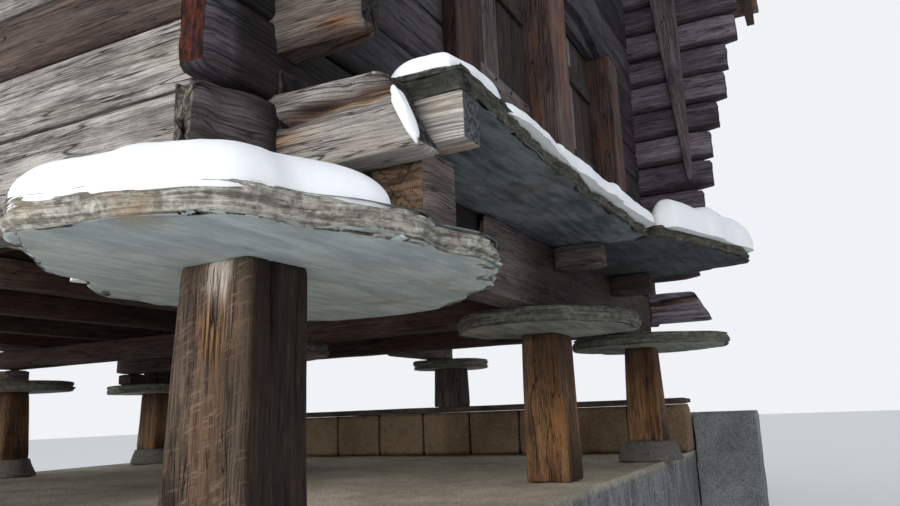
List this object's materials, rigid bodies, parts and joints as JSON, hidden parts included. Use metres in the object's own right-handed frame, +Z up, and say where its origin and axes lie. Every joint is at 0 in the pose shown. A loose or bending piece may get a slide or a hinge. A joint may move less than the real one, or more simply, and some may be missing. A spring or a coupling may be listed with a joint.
{
  "type": "raised log granary",
  "caption": "Raised log granary with a gabled stone roof, standing on posts with round stone discs over a masonry plinth, with two boarded doors and a stone landing.",
  "frame": {"origin": "centre of the base under the plinth", "axes": "+Z up, +X to the right seen from the doors, +Y from the doors towards the rear wall"},
  "size_m": [6.74, 7.2, 6.5239],
  "materials": {
    "grey_logs": "weathered grey larch",
    "brown_logs": "dark brown larch in the shade of the eaves",
    "door_boards": "dark weathered boards",
    "hewn_posts": "hewn larch, tan and brown",
    "beams": "rough sawn and hewn beams",
    "roof_timber": "rough sawn boards and rafters",
    "disc_stone": "split schist",
    "landing_stone": "split slate with moss",
    "roof_stone": "split roof slabs",
    "rough_cast": "rough cast masonry",
    "curb_block": "cast blocks",
    "hinge_iron": "black wrought iron"
  },
  "bodies": {
    "building": {"plinth": "rough_cast", "terrace_end": "rough_cast", "curb_blocks": "curb_block", "curb_plate": "beams", "corner_post": "hewn_posts", "front_posts": "hewn_posts", "middle_posts": "hewn_posts", "rear_posts": "hewn_posts", "stone_feet": "rough_cast", "corner_disc": "disc_stone", "front_discs": "disc_stone", "middle_discs": "disc_stone", "rear_discs": "disc_stone", "sill_pads": "beams", "floor_beams": "beams", "floor_joists": "beams", "floor_boards": "roof_timber", "left_wall": "grey_logs", "right_wall": "brown_logs", "rear_wall": "grey_logs", "threshold_log": "brown_logs", "front_wall_left": "brown_logs", "front_wall_right": "brown_logs", "lintel_log": "brown_logs", "front_wall_over": "brown_logs", "front_gable": "brown_logs", "door_posts": "brown_logs", "head_clamps": "grey_logs", "door_pintles": "hinge_iron", "landing_beam": "beams", "landing_brackets": "beams", "landing_slab_left": "landing_stone", "landing_slab_right": "landing_stone", "purlins": "roof_timber", "rafters_left": "roof_timber", "rafters_right": "roof_timber", "roof_boards_left": "roof_timber", "roof_boards_right": "roof_timber", "roof_stones_left": "roof_stone", "roof_stones_right": "roof_stone", "ridge_stones": "roof_stone"},
    "door_left": {"door_left": "door_boards", "door_left_straps": "hinge_iron"},
    "door_right": {"door_right": "door_boards", "door_right_straps": "hinge_iron"}
  },
  "joints": [
    {"name": "door_left_swing", "type": "hinge", "parent": "building", "child": "door_left", "pos_m": [-1.191, -2.226, 2.93], "axis": [0, 0, 1], "range_deg": [0, 95]},
    {"name": "door_right_swing", "type": "hinge", "parent": "building", "child": "door_right", "pos_m": [1.441, -2.226, 2.93], "axis": [0, 0, -1], "range_deg": [0, 95]}
  ]
}
